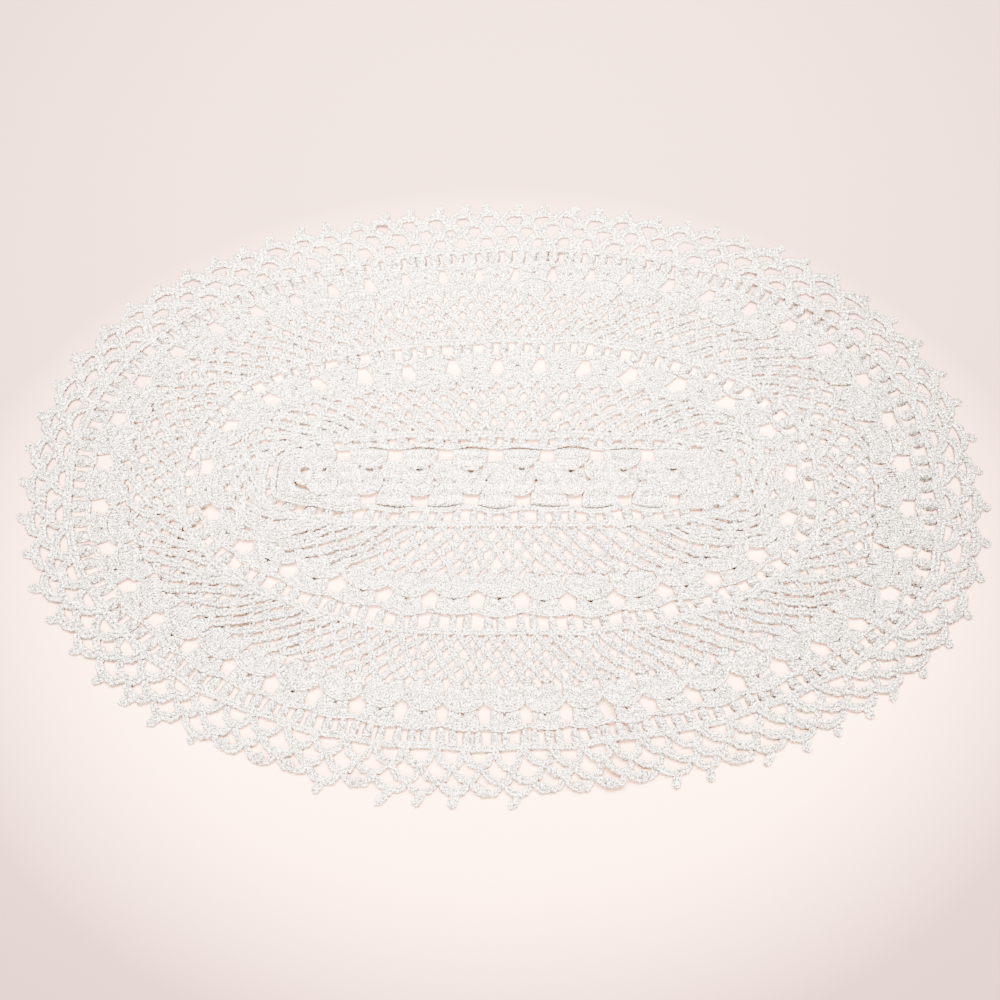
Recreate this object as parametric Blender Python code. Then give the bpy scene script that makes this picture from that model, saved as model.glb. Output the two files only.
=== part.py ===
"""An oval crocheted doily, lying flat: one closed solid, in metres, +Z up.

The doily is worked from the middle outwards in rounds, so a point on it is given by two numbers:
its share of the way round (0 at the +X end, anticlockwise) and its level, the number of the round
that it lies on. ROUNDS turns a level into an oval. Gaps and relief are laid out round by round.
"""

import functools
import math

import bpy
import numpy as np
from mathutils.geometry import delaunay_2d_cdt

MM = 0.001

# The rounds, in mm. Each is a superellipse; a higher exponent has straighter sides.
ROUNDS = [
    # name            half length  half depth  exponent  centre x  centre y
    ("shells",              99.0,       15.2,      5.0,      0.8,     -0.8),
    ("ladder_0",           103.6,       20.5,      4.0,      0.6,     -1.5),
    ("mesh_1_end",         116.6,       42.9,      2.8,      0.0,     -0.2),
    ("fans_1_valley",      126.0,       54.6,      2.4,     -1.0,     -1.0),
    ("fans_1_end",         132.0,       61.8,     2.35,     -1.0,     -0.3),
    ("ladder_1",           137.7,       68.5,     2.35,     -0.5,     -0.2),
    ("mesh_2_end",         160.7,       89.7,      2.3,      0.0,      0.8),
    ("fans_2_valley",      173.4,      101.2,      2.3,      0.7,      0.8),
    ("fans_2_end",         179.8,      108.6,     2.28,      0.7,      1.0),
    ("ladder_2",           187.0,      115.3,     2.25,      0.5,      1.4),
    ("net_edge",           202.2,      133.5,     2.23,      0.3,      2.9),
]
LEVEL = {row[0]: index for index, row in enumerate(ROUNDS)}
OVALS = np.array([row[1:] for row in ROUNDS])

# How far the cloth is pulled outwards and along the round (anticlockwise) from an even layout, in mm.
PULLS = [
    #              fans 1          fans 2          net and edge
    # at share     out   along     out   along     out   along
    (0 / 16,       0.4,  -1.2,    -1.8,  -3.0,     0.8,   1.0),
    (1 / 16,      -2.0,  -1.4,     0.0,  -0.7,    -0.4,   0.8),
    (2 / 16,      -2.1,  -0.3,    -1.6,  -0.8,     0.6,   0.3),
    (3 / 16,      -0.8,   0.0,    -0.3,   0.0,    -1.0,  -0.5),
    (4 / 16,      -1.0,  -0.4,    -2.7,  -0.2,    -0.7,  -1.6),
    (5 / 16,      -2.3,   0.8,    -3.2,  -0.4,    -3.2,  -1.5),
    (6 / 16,      -0.8,   1.5,    -2.5,  -1.6,    -2.6,  -0.2),
    (7 / 16,       1.5,   1.2,    -0.6,   1.4,    -0.1,   0.8),
    (8 / 16,       1.3,  -1.2,    -0.7,   2.8,     1.4,   1.2),
    (9 / 16,      -1.9,  -1.4,    -1.9,   1.5,    -0.8,   1.8),
    (10 / 16,     -1.7,  -0.1,    -0.8,  -0.8,    -0.6,   2.2),
    (11 / 16,      0.2,  -0.5,     0.6,  -0.3,     1.6,   2.0),
    (12 / 16,     -0.7,   0.2,     0.5,   0.0,     1.3,   1.6),
    (13 / 16,      1.9,   1.5,     0.0,  -1.0,    -1.3,   1.9),
    (14 / 16,      2.2,   1.8,    -0.8,   1.7,     0.3,   2.2),
    (15 / 16,      1.3,   1.5,     2.8,   0.0,     2.7,   1.6),
]
PULL_LEVELS = [LEVEL["ladder_0"], LEVEL["fans_1_valley"], LEVEL["fans_2_valley"], LEVEL["net_edge"]]

# Low ridges where the doily lifts off the surface, in mm and degrees.
RIPPLES = [
    # name                x       y    turned  half length  half width  height
    ("far left edge",   -57.0,  129.0,    95.0,        12.0,       5.0,    2.2),
    ("far middle fold",  23.0,  112.0,    80.0,        11.0,       5.0,    3.0),
    ("far right fold",  117.0,   96.0,    60.0,        12.0,       5.5,    2.4),
    ("far right pucker", 142.0,  84.0,   150.0,        16.0,       6.0,    2.6),
    ("near fold",        45.0, -101.0,   100.0,        13.0,       6.0,    2.2),
    ("near edge fold",   43.0, -124.0,    95.0,        10.0,       5.0,    2.6),
    ("left fold",      -131.0,  -18.0,    35.0,        14.0,       6.0,    2.4),
    ("braid left end",  -84.0,   -1.0,   150.0,        14.0,       7.0,    1.8),
    ("right fold",       95.0,   -9.0,    25.0,        15.0,       6.0,    1.6),
]

# Stitches crowd along the straight sides and spread at the two ends of the oval.
END_SPREAD = 0.0095
SIDE_DRIFT = (0.0018, -0.0030)

FAN_BANDS = [
    # first level    last level    valley level       fans   start   half width  inner point  outer point
    ("mesh_1_end", "fans_1_end", "fans_1_valley", 29, 0.0085, 3.6, -4.6, 4.6),
    ("mesh_2_end", "fans_2_end", "fans_2_valley", 48, 0.0110, 3.0, -3.6, 5.2),
]

NET_LOOPS = 76
NET_REACH = (0.0, 0.40, 0.72, 1.0)  # part of the net's depth reached by each row's tops
LOOP_SHOULDER = 0.32  # half the flat top of a loop, in loops
NET_START = 0.0175
NET_TWIST = (0.0010, 0.0026, 0.60)  # mean, swing and place of the skew between rows 1 and 3
FOLDED_PICOTS = {47, 48, 49, 51, 55, 57, 58, 59, 60, 63}
CLOSED_GAPS = {(3, 48), (3, 59), (3, 60), (3, 22), (3, 31)}  # (row, loop) lying folded shut
STRAND = 2.1  # width of a chain of stitches
PICOT_LENGTH = 4.8
PICOT_LEAN = -2.4  # how far a picot's tip leans along the edge
PICOT_HALF_WIDTH = 1.9
EDGE_DIP = 3.0  # how far the edge dips between two picots

LOBE_PITCH = 22.0
LOBES_NEAR = -79.7  # x of the first lobe on the -Y side
LOBES_FAR = -68.0
LOBE_COUNT = 8

# Heights of the upper side above the underside, in mm.
NET_HEIGHT = 1.6
MESH_HEIGHT = 1.4
LADDER_LOW = 1.1
CHAIN_RIDGE = 2.3
FAN_RIM = 1.4
FAN_CROWN = 3.0
LOBE_CROWN = 3.4
SHELL_CROWN = 2.8


@functools.lru_cache(maxsize=None)
def outline_table(level):
    """Points round the oval of a level, with the share of the way round at each."""
    half_length, half_depth, exponent, centre_x, centre_y = [
        np.interp(level, range(len(OVALS)), column) for column in OVALS.T
    ]
    turn = np.linspace(0, 2 * math.pi, 1441)
    cosine, sine = np.cos(turn), np.sin(turn)
    x = half_length * np.sign(cosine) * np.abs(cosine) ** (2 / exponent)
    y = half_depth * np.sign(sine) * np.abs(sine) ** (2 / exponent)
    run = np.concatenate([[0], np.cumsum(np.hypot(np.diff(x), np.diff(y)))])
    return run / run[-1], centre_x + x, centre_y + y, run[-1]


def girth(level):
    return outline_table(round(level, 3))[3]


def place(share, level, outward=0.0):
    """The point in mm at a share of the way round a level, moved outwards by some mm."""
    shares, xs, ys, length = outline_table(round(level, 3))
    out, along = pull(share, level)
    share = (share + along / length) % 1.0
    x, y = np.interp(share, shares, xs), np.interp(share, shares, ys)
    step = 2.0 / length
    ahead, behind = (share + step) % 1.0, (share - step) % 1.0
    along_x = np.interp(ahead, shares, xs) - np.interp(behind, shares, xs)
    along_y = np.interp(ahead, shares, ys) - np.interp(behind, shares, ys)
    size = math.hypot(along_x, along_y)
    shift = outward + out
    return x + shift * along_y / size, y - shift * along_x / size


def pull(share, level):
    """How far the cloth is pulled outwards and along at a share of the way round a level, in mm."""
    stations = [row[0] for row in PULLS] + [1.0]
    rows = np.array(PULLS + PULLS[:1])
    found = []
    for first in (1, 2):
        amounts = [0.0] + [np.interp(share % 1.0, stations, rows[:, column]) for column in (first, first + 2, first + 4)]
        found.append(float(np.interp(level, PULL_LEVELS, amounts)))
    return found


def spread(turn):
    """The share of the way round of a stitch that is this part of its round's count."""
    return (
        turn
        + END_SPREAD * math.sin(4 * math.pi * turn)
        + SIDE_DRIFT[0] * math.sin(2 * math.pi * turn)
        + SIDE_DRIFT[1] * math.cos(2 * math.pi * turn)
    )


def lift(x, y):
    """How far the doily stands off the surface at a point, in mm."""
    height = 0.0
    for _, ripple_x, ripple_y, turned, half_length, half_width, top in RIPPLES:
        angle = math.radians(turned)
        along = (x - ripple_x) * math.cos(angle) + (y - ripple_y) * math.sin(angle)
        across = (y - ripple_y) * math.cos(angle) - (x - ripple_x) * math.sin(angle)
        height += top * math.exp(-((along / half_length) ** 2) - (across / half_width) ** 2)
    return height if height > 0.15 else 0.0


class Pattern:
    """Flat points with the thickness of the cloth at each, and the closed lines that bound it."""

    def __init__(self):
        self.points = []
        self.heights = []
        self.loops = []

    def dot(self, point, height):
        self.points.append(point)
        self.heights.append(height)

    def loop(self, points, height):
        """A closed line, which delaunay_2d_cdt wants anticlockwise."""
        ring = np.array(points)
        ahead = np.roll(ring, -1, axis=0)
        if (ring[:, 0] * ahead[:, 1] - ring[:, 1] * ahead[:, 0]).sum() < 0:
            points = points[::-1]
        first = len(self.points)
        for point in points:
            self.dot(point, height)
        self.loops.append(list(range(first, len(self.points))))

    def triangles(self, chosen):
        """Triangles between the loops, as numbers of the chosen points; the first loop is the edge."""
        order = {index: place_in for place_in, index in enumerate(chosen)}
        flat = [self.points[index] for index in chosen]
        loops = [[order[index] for index in loop] for loop in self.loops]
        edges = [(a, b) for loop in loops for a, b in zip(loop, loop[1:] + loop[:1])]
        found = delaunay_2d_cdt([tuple(map(float, point)) for point in flat], edges, loops, 0, 1e-6)
        points, _, faces, origins, _, face_origins = found
        kept = [face for face, inside in zip(faces, face_origins) if inside == [0]]
        if any(len(origins[index]) != 1 for face in kept for index in face):
            raise ValueError("two lines of the pattern cross")
        return [[chosen[origins[index][0]] for index in face] for face in kept]


def net_top(row, loop):
    """Share of the way round of the top of a chain loop. Row 0 is the joints on the ladder's line."""
    turn = (loop + (0.0 if row % 2 else 0.5)) / NET_LOOPS
    mean, swing, where = NET_TWIST
    twist = mean + swing * math.cos(2 * math.pi * (turn - where))
    return spread(turn) + NET_START - twist * (len(NET_REACH) - 1 - row) / 2


def net_level(row):
    return LEVEL["ladder_2"] + NET_REACH[row]


def net_gap(row, loop):
    """Corners of the gap under one loop, between the two joints that the loop springs from."""
    half = STRAND / 2
    left = net_top(row - 1, loop - (row % 2))
    right = net_top(row - 1, loop + 1 - (row % 2))
    middle = net_top(row, loop)
    foot = 1.5 * half / girth(net_level(row - 1))
    shoulder = LOOP_SHOULDER * (right - left) - half / girth(net_level(row))
    corners = [
        place(left + foot, net_level(row - 1), half),
        place(right - foot, net_level(row - 1), half),
        place(middle + shoulder, net_level(row), -half),
        place(middle - shoulder, net_level(row), -half),
    ]
    if row > 1:
        corners.insert(1, place(net_top(row - 2, loop), net_level(row - 1), -0.2))
    return corners


def edge_points():
    """The outer edge: a dip between loops and a picot at the top of each."""
    points = []
    last = len(NET_REACH) - 1
    level = net_level(last)
    for loop in range(NET_LOOPS):
        dip = net_top(last - 1, loop - 1)
        top = net_top(last, loop)
        reach = 1.6 if loop in FOLDED_PICOTS else PICOT_LENGTH
        side = PICOT_HALF_WIDTH / girth(level)
        tip = top + (0.4 if loop in FOLDED_PICOTS else 1.0) * PICOT_LEAN / girth(level)
        rim = STRAND / 2
        points += [
            place(dip, level, rim - EDGE_DIP),
            place(top - side, level, rim),
            place(tip - 0.7 * side, level, rim + reach),
            place(tip + 0.7 * side, level, rim + reach),
            place(top + side, level, rim),
        ]
    return points


def fan_opening(valley, share, half_width, inner, outer):
    """The five-sided opening left over the valley between two fans."""
    side = half_width / girth(valley)
    height = outer - inner
    return [
        place(share, valley, inner),
        place(share + side, valley, inner + 0.38 * height),
        place(share + 0.3 * side, valley, outer),
        place(share - 0.3 * side, valley, outer),
        place(share - side, valley, inner + 0.38 * height),
    ]


def add_fans(pattern, band):
    """A band of inner fans with outer fans on their tops, and the openings between them."""
    first, last, valley, count, start, half_width, inner, outer = band
    first, last, valley = LEVEL[first], LEVEL[last], LEVEL[valley]
    pitch = 1 / count
    for fan in range(count):
        opening = spread(fan * pitch) + start
        pattern.loop(fan_opening(valley, opening, half_width, inner, outer), FAN_RIM)
        middle = spread((fan + 0.5) * pitch) + start
        side = 0.24 * pitch
        pattern.dot(place(middle, first), FAN_RIM)
        pattern.dot(place(opening, first, 0.8), MESH_HEIGHT)
        pattern.dot(place(middle - side, first + 0.55, 0.0), FAN_CROWN)
        pattern.dot(place(middle + side, first + 0.55, 0.0), FAN_CROWN)
        pattern.dot(place(middle, valley, -0.3), FAN_RIM)
        pattern.dot(place(middle - 0.8 * side, valley + 0.5, 0.0), FAN_CROWN)
        pattern.dot(place(middle + 0.8 * side, valley + 0.5, 0.0), FAN_CROWN)
        pattern.dot(place(middle, last, 0.3), FAN_RIM)


def add_ring(pattern, level, outward, count, height):
    for stitch in range(count):
        pattern.dot(place(spread((stitch + 0.5) / count), level, outward), height)


def add_net(pattern):
    for row in range(1, len(NET_REACH)):
        for loop in range(NET_LOOPS):
            if (row, loop) not in CLOSED_GAPS:
                pattern.loop(net_gap(row, loop), NET_HEIGHT)


def add_middle(pattern):
    """Braid lobes on alternate sides of the long axis, and the shells that frame them."""
    for side, first, shells_from in ((-1, LOBES_NEAR, LOBES_FAR), (1, LOBES_FAR, LOBES_NEAR)):
        for lobe in range(LOBE_COUNT):
            x = first + lobe * LOBE_PITCH
            pattern.dot((x, side * 3.8), LOBE_CROWN)
            pattern.dot((x - 4.6, side * 5.6), MESH_HEIGHT)
            pattern.dot((x, side * 9.0), MESH_HEIGHT)
            pattern.dot((x + 4.6, side * 5.6), MESH_HEIGHT)
            shell = shells_from + lobe * LOBE_PITCH
            pattern.dot((shell, side * 10.5), SHELL_CROWN)
    for end in (-1, 1):
        for x, y in ((90.0, 0.0), (93.5, 8.0), (93.5, -8.0)):
            pattern.dot((end * x, y), SHELL_CROWN)
    add_ring(pattern, LEVEL["shells"], 0.0, 40, FAN_RIM)
    add_ring(pattern, LEVEL["ladder_0"], 0.0, 44, CHAIN_RIDGE)
    add_ring(pattern, LEVEL["ladder_0"], 2.4, 40, MESH_HEIGHT)


def add_ladders(pattern):
    for name, count in (("ladder_1", 58), ("ladder_2", 60)):
        add_ring(pattern, LEVEL[name], -3.6, count, LADDER_LOW)
        add_ring(pattern, LEVEL[name], -0.2, count, CHAIN_RIDGE)
    add_ring(pattern, LEVEL["ladder_1"], 2.4, 58, MESH_HEIGHT)


def rest_rings():
    """Points of the underside away from its gaps, close enough to follow the ripples."""
    return [
        place(spread(stitch / 40), level)
        for level in (0, 1, 1.5, 2, 4.4, 5, 5.5, 6)
        for stitch in range(40)
    ]


def doily_mesh():
    pattern = Pattern()
    pattern.loop(edge_points(), NET_HEIGHT)
    add_net(pattern)
    for band in FAN_BANDS:
        add_fans(pattern, band)
    rim = [index for loop in pattern.loops for index in loop]
    add_ladders(pattern)
    add_middle(pattern)
    upper_count = len(pattern.points)
    for point in rest_rings():
        pattern.dot(point, 0.0)

    upper = pattern.triangles(list(range(upper_count)))
    lower = pattern.triangles(rim + list(range(upper_count, len(pattern.points))))

    flat = np.array(pattern.points)
    middle = (flat[rim].max(axis=0) + flat[rim].min(axis=0)) / 2
    lifts = np.array([lift(x, y) for x, y in flat])
    base = np.column_stack([flat - middle, lifts]) * MM
    top = base + np.outer(pattern.heights, (0, 0, MM))
    count = len(flat)
    faces = upper + [[index + count for index in reversed(face)] for face in lower]
    faces += side_walls(upper, count)
    return np.concatenate([top, base]), faces


def side_walls(upper, count):
    """A wall under each border of the upper side, two triangles each."""
    borders = {(a, b) for face in upper for a, b in zip(face, face[1:] + face[:1])}
    walls = []
    for a, b in borders:
        if (b, a) not in borders:
            walls.append([b, a, a + count])
            walls.append([b, a + count, b + count])
    return walls


def used_only(points, faces):
    """The same mesh without the points that no face uses."""
    used = sorted({index for face in faces for index in face})
    order = {index: place_in for place_in, index in enumerate(used)}
    return points[used], [[order[index] for index in face] for face in faces]


def cotton():
    material = bpy.data.materials.new("white crochet cotton")
    material.use_nodes = True
    shader = material.node_tree.nodes["Principled BSDF"]
    shader.inputs["Base Color"].default_value = (0.86, 0.87, 0.85, 1.0)
    shader.inputs["Roughness"].default_value = 0.85
    shader.inputs["Metallic"].default_value = 0.0
    return material


def main():
    for thing in list(bpy.data.objects):
        bpy.data.objects.remove(thing, do_unlink=True)
    points, faces = used_only(*doily_mesh())
    mesh = bpy.data.meshes.new("doily")
    mesh.from_pydata(points.tolist(), [], faces)
    mesh.validate()
    mesh.materials.append(cotton())
    doily = bpy.data.objects.new("doily", mesh)
    bpy.context.scene.collection.objects.link(doily)
    print(len(faces), "triangles;", "size in mm", (np.ptp(points, axis=0) / MM).round(1))


main()
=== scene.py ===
# %% [markdown]
# # An oval crocheted doily
#
# This file dresses a plain solid of a doily with real stitches. Crochet is one long yarn pulled through
# itself, so the whole cloth can be made from two things: a chain, and a tall stitch that stands between
# two chains. Both are drawn once, as a few bent grains of yarn, and then laid along every line of the
# pattern. The lines come from the middle outwards, round by round, as the hook made them.

# %% Load the frame that everything is placed in
import math

import bpy
import numpy as np
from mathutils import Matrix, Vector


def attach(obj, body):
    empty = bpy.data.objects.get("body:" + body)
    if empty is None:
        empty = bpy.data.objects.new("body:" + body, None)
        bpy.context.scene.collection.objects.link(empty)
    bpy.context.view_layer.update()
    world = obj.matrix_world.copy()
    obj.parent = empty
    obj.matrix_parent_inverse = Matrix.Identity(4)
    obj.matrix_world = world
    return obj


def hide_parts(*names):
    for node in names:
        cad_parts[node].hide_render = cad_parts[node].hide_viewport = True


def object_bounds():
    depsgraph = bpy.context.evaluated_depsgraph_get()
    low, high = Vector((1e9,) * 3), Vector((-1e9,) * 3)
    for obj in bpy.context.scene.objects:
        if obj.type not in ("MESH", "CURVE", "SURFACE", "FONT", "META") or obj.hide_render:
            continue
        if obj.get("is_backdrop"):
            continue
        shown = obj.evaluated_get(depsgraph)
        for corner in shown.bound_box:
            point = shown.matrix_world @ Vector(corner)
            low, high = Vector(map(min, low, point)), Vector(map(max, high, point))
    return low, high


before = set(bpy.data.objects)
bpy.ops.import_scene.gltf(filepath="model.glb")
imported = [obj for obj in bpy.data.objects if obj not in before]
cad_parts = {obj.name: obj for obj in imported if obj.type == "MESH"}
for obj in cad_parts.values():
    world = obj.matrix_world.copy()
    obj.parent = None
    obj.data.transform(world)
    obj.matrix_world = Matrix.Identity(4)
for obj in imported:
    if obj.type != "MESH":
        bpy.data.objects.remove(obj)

cad_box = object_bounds()
dice = np.random.default_rng(1921)
MM = 0.001
print("box of the solid in mm:", [[round(v / MM, 1) for v in corner] for corner in cad_box])

# %% [markdown]
# ## The rounds
#
# An oval doily grows evenly: each round is a rounder and larger oval than the last. A circle or an
# ellipse has one shape only, and the inner rounds are nearly rectangles with soft corners. A superellipse
# covers both, with one number, its exponent, for how square it is. Lengths here are in millimetres.

# %% List the rounds, from the middle outwards
ROUNDS = [
    # name            half length  half depth  exponent  centre x  centre y
    ("shells",              99.0,       15.2,      5.0,      0.8,     -0.8),
    ("ladder_0",           103.6,       20.5,      4.0,      0.6,     -1.5),
    ("mesh_1_end",         116.6,       42.9,      2.8,      0.0,     -0.2),
    ("fans_1_valley",      126.0,       54.6,      2.4,     -1.0,     -1.0),
    ("fans_1_end",         132.0,       61.8,     2.35,     -1.0,     -0.3),
    ("ladder_1",           137.7,       68.5,     2.35,     -0.5,     -0.2),
    ("mesh_2_end",         160.7,       89.7,      2.3,      0.0,      0.8),
    ("fans_2_valley",      173.4,      101.2,      2.3,      0.7,      0.8),
    ("fans_2_end",         179.8,      108.6,     2.28,      0.7,      1.0),
    ("ladder_2",           187.0,      115.3,     2.25,      0.5,      1.4),
    ("net_edge",           202.2,      133.5,     2.23,      0.3,      2.9),
]
LEVEL = {row[0]: index for index, row in enumerate(ROUNDS)}
MIDDLE = (0.109, 1.889)  # where the frame's origin lies in the pattern
print(len(ROUNDS), "rounds, the last one", 2 * ROUNDS[-1][1], "mm long")

# %% [markdown]
# A point of the cloth is given by its share of the way round (0 at the right end, anticlockwise) and its
# level, the number of its round; 4.5 is halfway between rounds 4 and 5. Working out an oval's arc length
# for every point would be slow, so a table of points holds all levels once, and places are read from it.

# %% Make a table of points, by level and share of the way round
LEVEL_STEPS = 40
SHARE_STEPS = 1440


def oval_line(half_length, half_depth, exponent, centre_x, centre_y):
    """Points round a superellipse, evenly spaced, and its girth."""
    turn = np.linspace(0, 2 * math.pi, 2881)
    cosine, sine = np.cos(turn), np.sin(turn)
    x = half_length * np.sign(cosine) * np.abs(cosine) ** (2 / exponent)
    y = half_depth * np.sign(sine) * np.abs(sine) ** (2 / exponent)
    run = np.concatenate([[0], np.cumsum(np.hypot(np.diff(x), np.diff(y)))])
    even = np.linspace(0, run[-1], SHARE_STEPS + 1)
    return centre_x + np.interp(even, run, x), centre_y + np.interp(even, run, y), run[-1]


def oval_table():
    """Points of all levels, as (levels, shares, 2), and the girth of each level."""
    shapes = np.array([row[1:] for row in ROUNDS])
    fine = np.linspace(0, len(ROUNDS) - 1, LEVEL_STEPS * (len(ROUNDS) - 1) + 1)
    rows = []
    for level in fine:
        shape = [np.interp(level, range(len(shapes)), column) for column in shapes.T]
        rows.append(oval_line(*shape))
    points = np.array([np.column_stack(row[:2]) for row in rows])
    return points, np.array([row[2] for row in rows])


TABLE, GIRTHS = oval_table()
print("table of", TABLE.shape[0], "ovals, girths from", GIRTHS[0].round(), "to", GIRTHS[-1].round(), "mm")

# %% [markdown]
# ## Handmade unevenness
#
# No doily lies quite evenly: the rounds are pulled in and out, the stitches drift along them, and here
# and there the cloth stands off the table in a low ripple. The solid has the same pulls and ripples, so
# the stitches have to follow the same numbers, or they would hang beside it.

# %% Say how the cloth is pulled
PULLS = [
    #              fans 1          fans 2          net and edge
    # at share     out   along     out   along     out   along
    (0 / 16,       0.4,  -1.2,    -1.8,  -3.0,     0.8,   1.0),
    (1 / 16,      -2.0,  -1.4,     0.0,  -0.7,    -0.4,   0.8),
    (2 / 16,      -2.1,  -0.3,    -1.6,  -0.8,     0.6,   0.3),
    (3 / 16,      -0.8,   0.0,    -0.3,   0.0,    -1.0,  -0.5),
    (4 / 16,      -1.0,  -0.4,    -2.7,  -0.2,    -0.7,  -1.6),
    (5 / 16,      -2.3,   0.8,    -3.2,  -0.4,    -3.2,  -1.5),
    (6 / 16,      -0.8,   1.5,    -2.5,  -1.6,    -2.6,  -0.2),
    (7 / 16,       1.5,   1.2,    -0.6,   1.4,    -0.1,   0.8),
    (8 / 16,       1.3,  -1.2,    -0.7,   2.8,     1.4,   1.2),
    (9 / 16,      -1.9,  -1.4,    -1.9,   1.5,    -0.8,   1.8),
    (10 / 16,     -1.7,  -0.1,    -0.8,  -0.8,    -0.6,   2.2),
    (11 / 16,      0.2,  -0.5,     0.6,  -0.3,     1.6,   2.0),
    (12 / 16,     -0.7,   0.2,     0.5,   0.0,     1.3,   1.6),
    (13 / 16,      1.9,   1.5,     0.0,  -1.0,    -1.3,   1.9),
    (14 / 16,      2.2,   1.8,    -0.8,   1.7,     0.3,   2.2),
    (15 / 16,      1.3,   1.5,     2.8,   0.0,     2.7,   1.6),
]
PULL_LEVELS = [LEVEL["ladder_0"], LEVEL["fans_1_valley"], LEVEL["fans_2_valley"], LEVEL["net_edge"]]


def pull(share, level):
    """How far the cloth is pulled outwards and along, in mm."""
    stations = [row[0] for row in PULLS] + [1.0]
    rows = np.array(PULLS + PULLS[:1])
    out, along = 0.0, 0.0
    for group in range(3):
        weight = np.interp(level, PULL_LEVELS, np.eye(4)[group + 1])
        out = out + weight * np.interp(share % 1.0, stations, rows[:, 1 + 2 * group])
        along = along + weight * np.interp(share % 1.0, stations, rows[:, 2 + 2 * group])
    return out, along


print("pulled at the right end of the edge by", [round(float(v), 1) for v in pull(0.0, 10.0)], "mm")

# %% [markdown]
# Washed cotton never dries quite flat. Each ripple is one low, rounded ridge: a place, a direction, a
# length, a width and a height say all of it, and they are easy to read and to change. Noise would ripple
# the cloth everywhere alike, and real ripples are few.

# %% Say where the cloth ripples
RIPPLES = [
    # name                x       y    turned  half length  half width  height
    ("far left edge",   -57.0,  129.0,    95.0,        12.0,       5.0,    2.2),
    ("far middle fold",  23.0,  112.0,    80.0,        11.0,       5.0,    3.0),
    ("far right fold",  117.0,   96.0,    60.0,        12.0,       5.5,    2.4),
    ("far right pucker", 142.0,  84.0,   150.0,        16.0,       6.0,    2.6),
    ("near fold",        45.0, -101.0,   100.0,        13.0,       6.0,    2.2),
    ("near edge fold",   43.0, -124.0,    95.0,        10.0,       5.0,    2.6),
    ("left fold",      -131.0,  -18.0,    35.0,        14.0,       6.0,    2.4),
    ("braid left end",  -84.0,   -1.0,   150.0,        14.0,       7.0,    1.8),
    ("right fold",       95.0,   -9.0,    25.0,        15.0,       6.0,    1.6),
]
RIPPLE_FOOT = 0.15  # mm cut from a ridge's foot, so that the cloth beside it lies flat


def lift(x, y):
    """How far the cloth stands off the surface at a point, in mm."""
    height = np.zeros(np.broadcast(x, y).shape)
    for _, ripple_x, ripple_y, turned, half_length, half_width, top in RIPPLES:
        angle = math.radians(turned)
        along = (x - ripple_x) * math.cos(angle) + (y - ripple_y) * math.sin(angle)
        across = (y - ripple_y) * math.cos(angle) - (x - ripple_x) * math.sin(angle)
        height = height + top * np.exp(-((along / half_length) ** 2) - (across / half_width) ** 2)
    return np.maximum(height - RIPPLE_FOOT, 0.0)


print("highest ripple", round(float(lift(23.0, 112.0)), 2), "mm")

# %% [markdown]
# ## From the pattern to a point
#
# The next helpers turn a place in the pattern into a point in millimetres. They take whole arrays, so
# that a line of stitches costs one call. `wander` adds the small wobble that a hand leaves in each line:
# a few slow waves, because noise at every stitch would look like a fault and not like a hand.

# %% Turn shares and levels into points
def read_table(share, level):
    """Points on a level, read between the points of the table."""
    row = np.clip(level, 0, len(ROUNDS) - 1) * LEVEL_STEPS
    column = (share % 1.0) * SHARE_STEPS
    row_0 = np.minimum(row.astype(int), TABLE.shape[0] - 2)
    column_0 = np.minimum(column.astype(int), SHARE_STEPS - 1)
    down = (row - row_0)[..., None]
    right = (column - column_0)[..., None]
    upper = TABLE[row_0, column_0] * (1 - right) + TABLE[row_0, column_0 + 1] * right
    lower = TABLE[row_0 + 1, column_0] * (1 - right) + TABLE[row_0 + 1, column_0 + 1] * right
    return upper * (1 - down) + lower * down


def girth(level):
    """How long the way round a level is, in mm."""
    return np.interp(level, np.linspace(0, len(ROUNDS) - 1, len(GIRTHS)), GIRTHS)


def wander(x, y):
    """A slow sideways wobble, in mm."""
    side = 0.30 * np.sin(x / 3.1 + y / 7.3) + 0.30 * np.sin(y / 4.3 - x / 9.1 + 1.0)
    back = 0.30 * np.sin(y / 3.7 - x / 6.1 + 2.0) + 0.30 * np.sin(x / 5.3 + y / 8.7)
    return side, back


def cloth(share, level, outward=0.0, height=0.0):
    """Points in mm at shares of the way round levels, moved outwards, at a height over the table."""
    share, level, outward, height = np.broadcast_arrays(
        *[np.asarray(value, float) for value in (share, level, outward, height)]
    )
    length = girth(level)
    out, along = pull(share, level)
    share = share + along / length
    here = read_table(share, level)
    way = read_table(share + 2.0 / length, level) - read_table(share - 2.0 / length, level)
    way = way / np.linalg.norm(way, axis=-1, keepdims=True)
    shift = outward + out
    x = here[..., 0] + shift * way[..., 1]
    y = here[..., 1] - shift * way[..., 0]
    side, back = wander(x, y)
    return np.stack([x + side, y + back, height + lift(x, y)], axis=-1)


print("left end of ladder 2:", cloth(0.5, LEVEL["ladder_2"]).round(1))

# %% [markdown]
# Stitches crowd along the straight sides of an oval and open out at its two ends, where the hook has to
# turn. `spread` gives the share of the way round of the stitch that is, say, a third of a round's count.
# Yarn is also thicker where nothing stretches it: at the two ends, and a little on the far side. `fuller`
# gives a strand's width there as a multiple of its drawn width, so that one number serves all rounds.

# %% Spread a round's stitches and fill them out
FULL_AT_SIDES = 0.92
FULLER_AT_ENDS = 0.42
FULLER_ON_FAR_SIDE = 0.30


def fuller(share):
    """How full a strand is, at a share of the way round."""
    turn = 2 * np.pi * share
    ends = np.cos(turn) ** 2
    far = np.maximum(np.sin(turn), 0)
    return FULL_AT_SIDES + FULLER_AT_ENDS * ends + FULLER_ON_FAR_SIDE * far


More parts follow.
